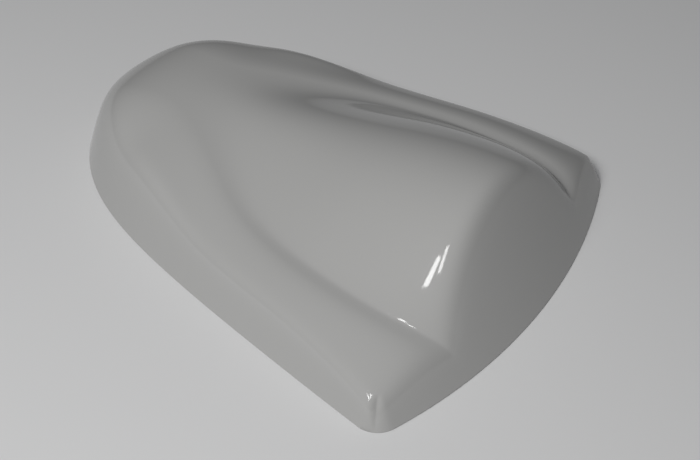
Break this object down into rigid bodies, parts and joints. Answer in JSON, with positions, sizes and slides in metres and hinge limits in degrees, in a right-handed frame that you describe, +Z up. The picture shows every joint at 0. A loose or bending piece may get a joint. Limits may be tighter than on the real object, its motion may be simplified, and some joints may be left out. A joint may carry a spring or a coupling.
{
  "type": "seat cowl",
  "caption": "Moulded plastic tail cowl: bowed front edge, raised central hump, a soft valley and ridge along each side, open hollow underneath.",
  "frame": {"origin": "centre of the bounding box, on the plane of the rim that the cowl rests on", "axes": "+X to the front edge, that faces the rider; +Y to the left side; +Z up through the hump"},
  "size_m": [0.3274, 0.256, 0.0806],
  "materials": {
    "shell_plastic": "high gloss, light grey"
  },
  "bodies": {
    "root": {"cowl_shell": "shell_plastic"}
  },
  "joints": []
}
